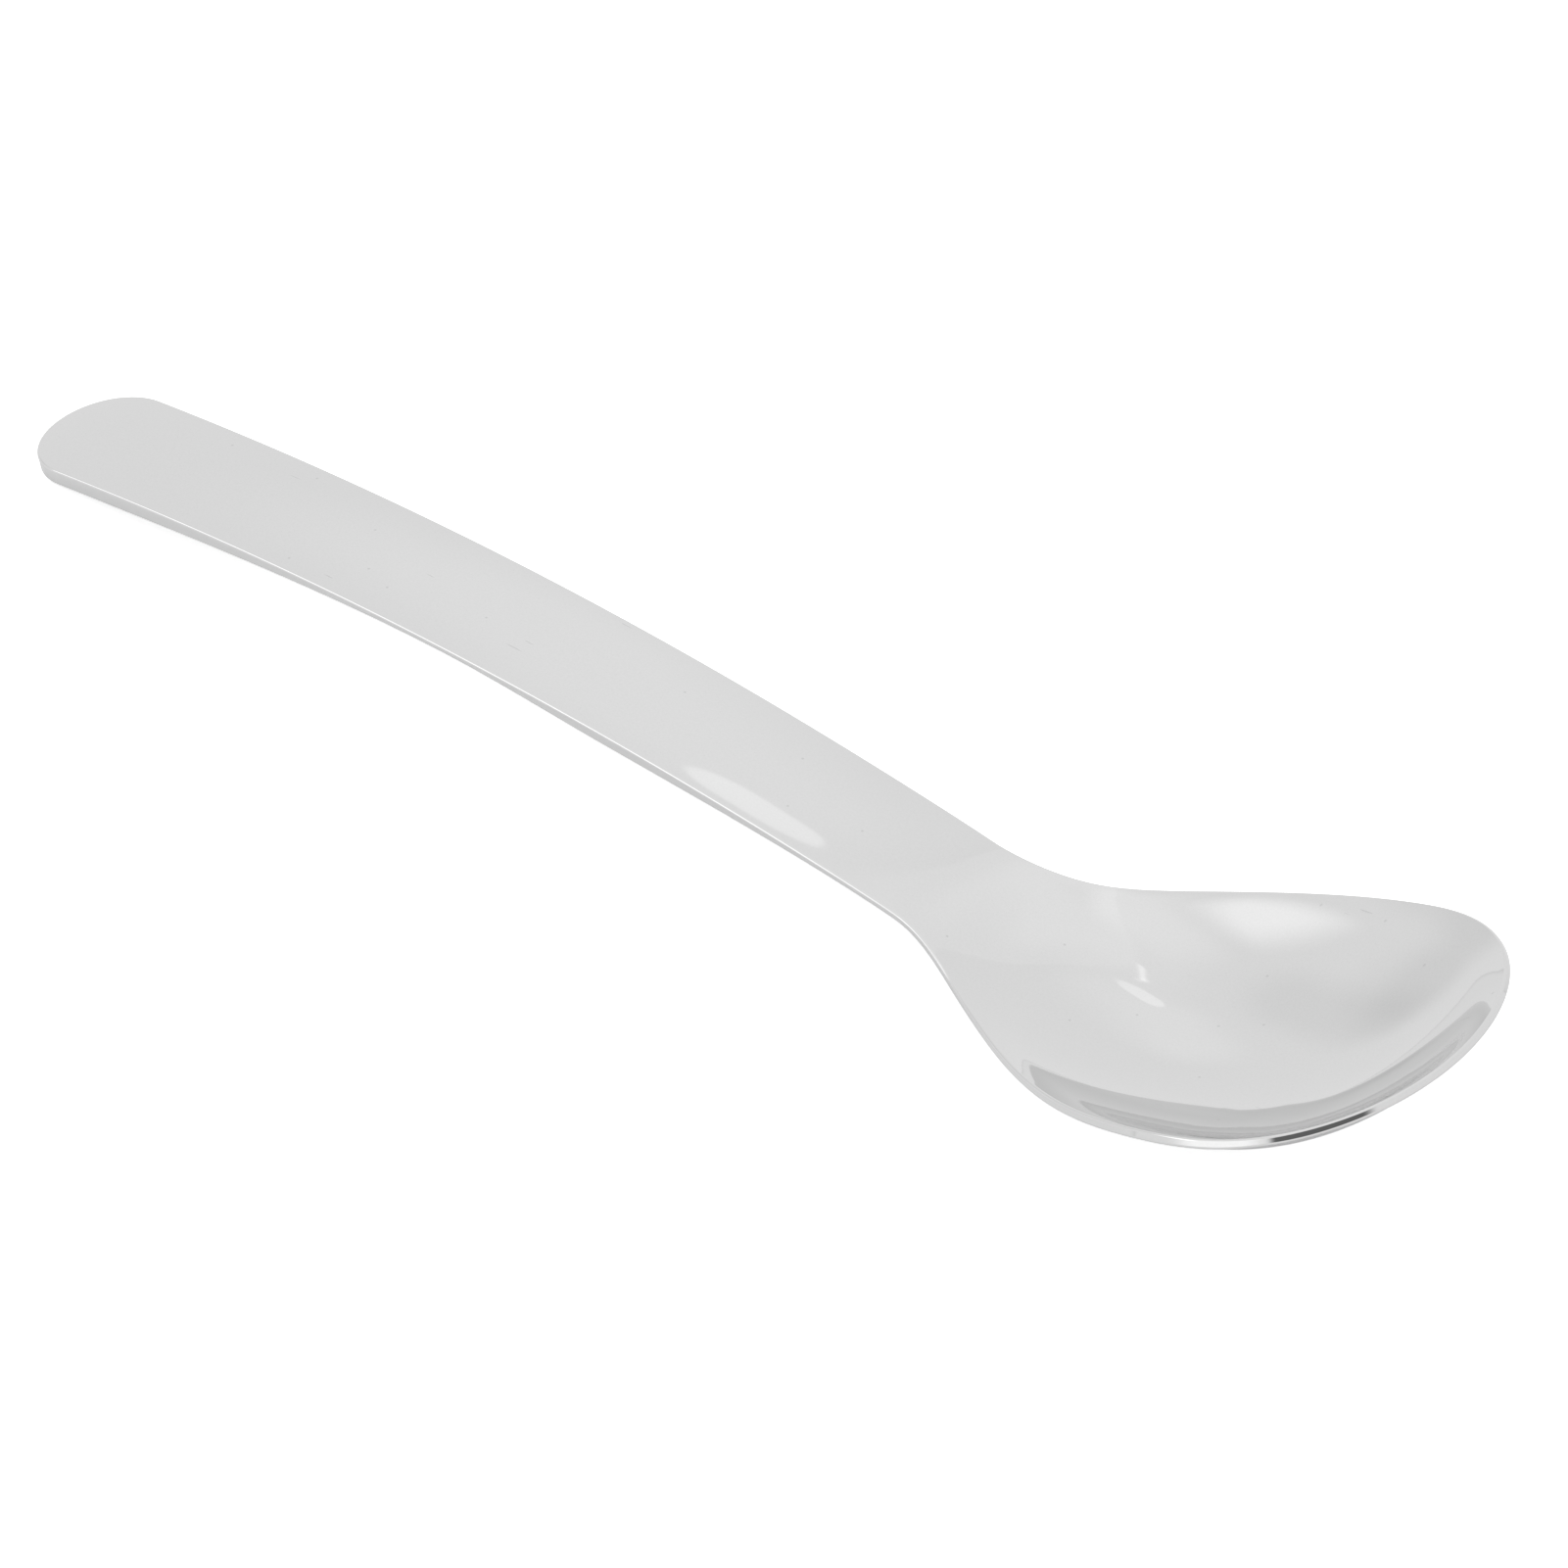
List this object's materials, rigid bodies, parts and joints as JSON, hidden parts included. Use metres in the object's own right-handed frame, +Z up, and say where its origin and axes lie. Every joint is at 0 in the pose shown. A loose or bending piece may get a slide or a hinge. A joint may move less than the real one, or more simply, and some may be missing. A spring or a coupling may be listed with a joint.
{
  "type": "soup spoon",
  "caption": "Soup spoon pressed from one blank of mirror-polished steel: a flat arched handle with a rounded end, a low neck and a deep egg-shaped bowl.",
  "frame": {"origin": "on the table, under the middle of the spoon's length and width", "axes": "+X along the spoon towards the bowl's tip, +Y across it to the left of a viewer who looks along +X, +Z up out of the bowl's hollow"},
  "size_m": [0.1854, 0.0456, 0.0166],
  "materials": {
    "polished_steel": "polished"
  },
  "bodies": {
    "root": {"spoon": "polished_steel"}
  },
  "joints": []
}
